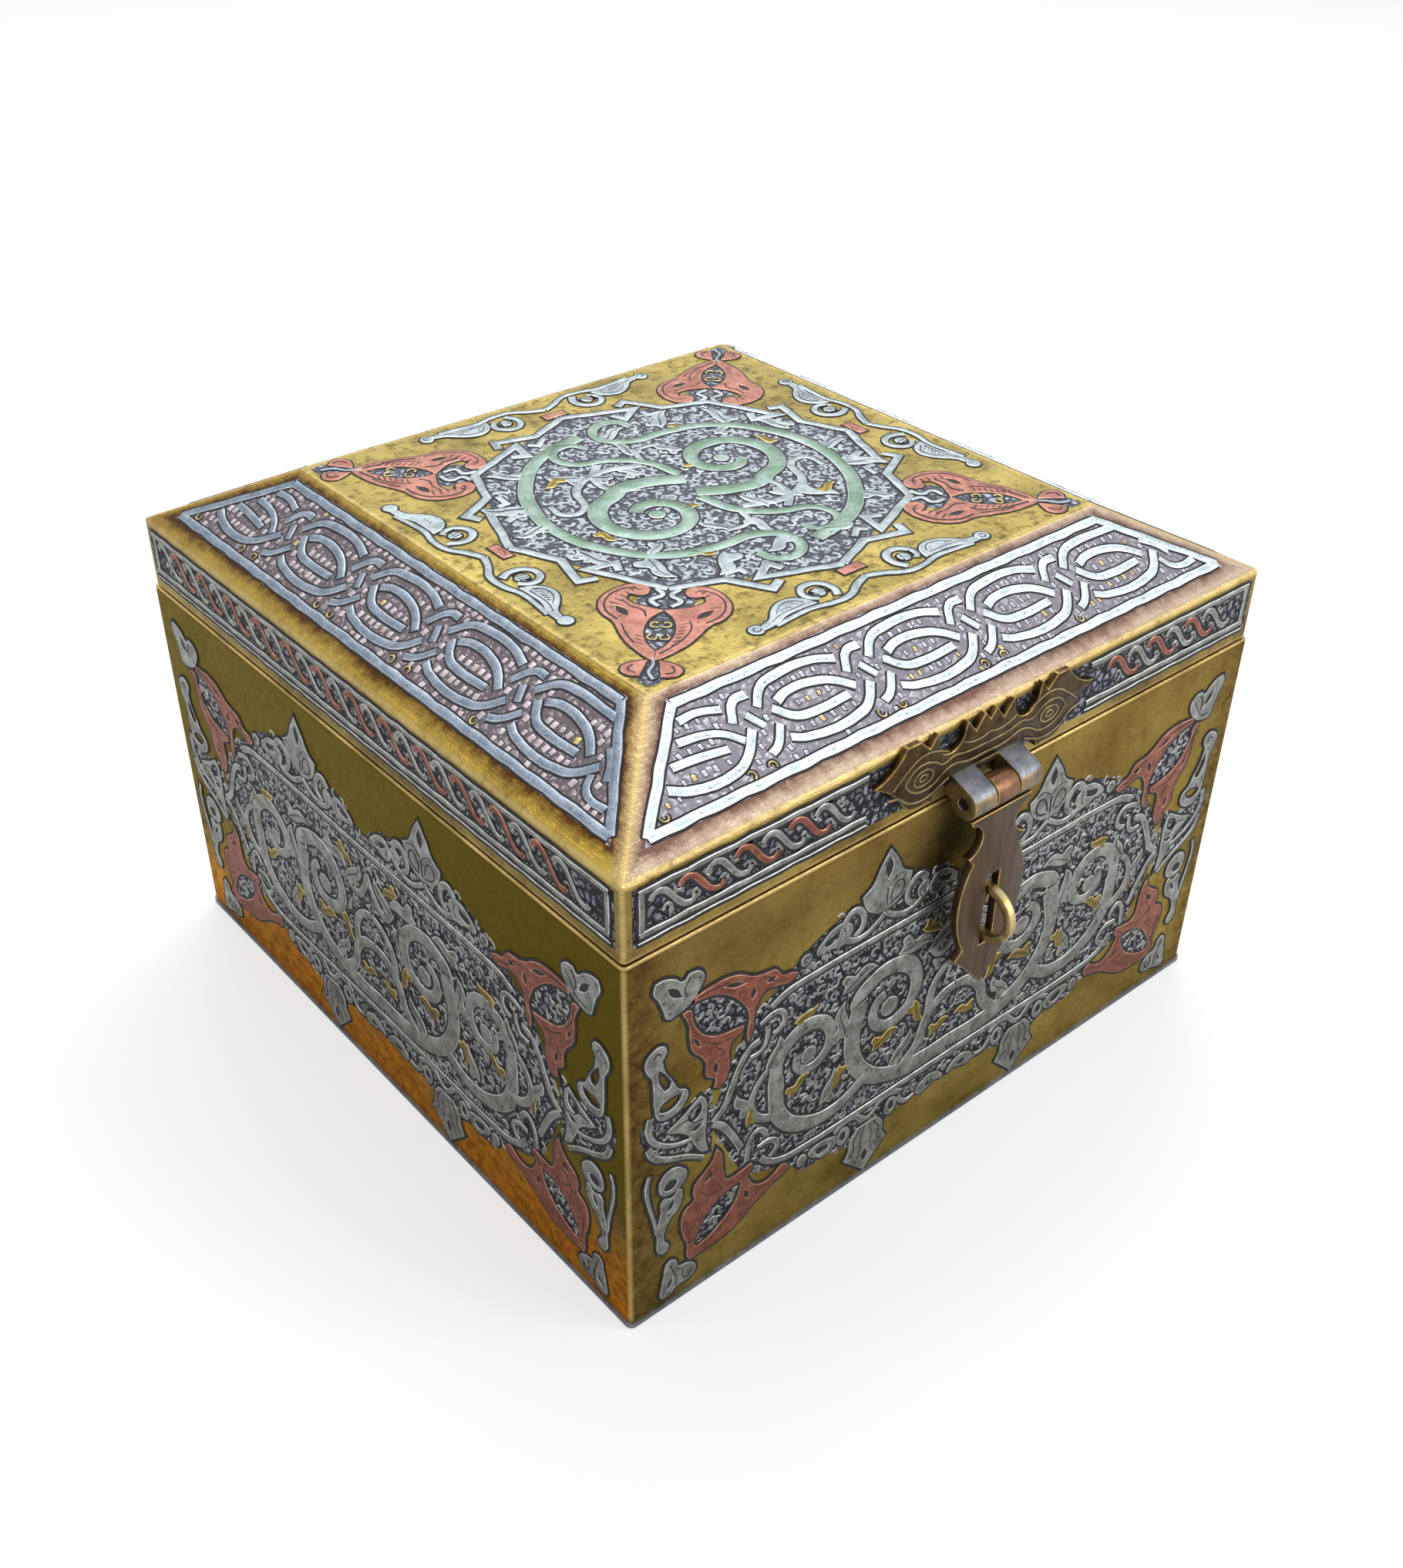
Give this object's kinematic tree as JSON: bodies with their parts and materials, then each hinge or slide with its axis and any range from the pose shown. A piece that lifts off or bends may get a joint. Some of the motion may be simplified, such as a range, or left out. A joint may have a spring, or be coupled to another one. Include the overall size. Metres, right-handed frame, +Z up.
{
  "type": "quran casket",
  "caption": "Square book casket of brass sheet inlaid with silver and copper, on a wood lining, with a hipped lid on back hinges and a pierced hasp over a staple.",
  "frame": {"origin": "centre of the underside of the base plate, which is the face the casket rests on", "axes": "+Z up, -Y towards the front with the hasp, +X to the right seen from the front"},
  "size_m": [0.1608, 0.1769, 0.1133],
  "materials": {
    "brass_sheet": "aged hand-finished sheet with olive-brown patina and rubbed bright edges",
    "lid_brass": "hammered sheet with golden olive patina",
    "silver_inlay": "tarnished silver with engraved outlines",
    "copper_inlay": "matt red copper inlay",
    "bronze_fittings": "rubbed brown bronze with bright edges",
    "iron_pin": "dark wire",
    "solder": "dull grey tin solder",
    "cedar": "oiled red-brown cedar boards"
  },
  "bodies": {
    "body": {"back_copper_leaves": "copper_inlay", "back_hinge_body_leaves": "bronze_fittings", "back_hinge_body_rivets": "bronze_fittings", "back_hinge_pins": "iron_pin", "back_plate": "brass_sheet", "back_silver_frame": "silver_inlay", "base_plate": "brass_sheet", "base_solder": "solder", "front_copper_leaves": "copper_inlay", "front_plate": "brass_sheet", "front_silver_frame": "silver_inlay", "left_copper_leaves": "copper_inlay", "left_plate": "brass_sheet", "left_silver_frame": "silver_inlay", "lining_back": "cedar", "lining_floor": "cedar", "lining_front": "cedar", "lining_left": "cedar", "lining_right": "cedar", "right_copper_leaves": "copper_inlay", "right_plate": "brass_sheet", "right_silver_frame": "silver_inlay", "staple": "bronze_fittings"},
    "lid": {"back_hinge_lid_leaves": "bronze_fittings", "back_hinge_lid_rivets": "bronze_fittings", "back_rim_border": "silver_inlay", "back_slope_strap": "silver_inlay", "front_hinge_leaf": "bronze_fittings", "front_hinge_pin": "iron_pin", "front_rim_border": "silver_inlay", "front_slope_strap": "silver_inlay", "left_rim_border": "silver_inlay", "left_slope_strap": "silver_inlay", "lid_back": "lid_brass", "lid_front": "lid_brass", "lid_left": "lid_brass", "lid_lining_back": "cedar", "lid_lining_front": "cedar", "lid_lining_left": "cedar", "lid_lining_panel": "cedar", "lid_lining_right": "cedar", "lid_ornament_plate": "bronze_fittings", "lid_right": "lid_brass", "lid_top_plate": "lid_brass", "medallion_strap": "silver_inlay", "right_rim_border": "silver_inlay", "right_slope_strap": "silver_inlay", "top_copper_palmettes": "copper_inlay"},
    "hasp": {"hasp_knuckle": "bronze_fittings", "hasp_plate": "bronze_fittings"}
  },
  "joints": [
    {"name": "lid_hinge", "type": "hinge", "parent": "body", "child": "lid", "pos_m": [0, 0.0828, 0.085], "axis": [-1, 0, 0], "range_deg": [0, 105]},
    {"name": "hasp_hinge", "type": "hinge", "parent": "lid", "child": "hasp", "pos_m": [0, -0.084, 0.086], "axis": [-1, 0, 0], "range_deg": [0, 165]}
  ]
}
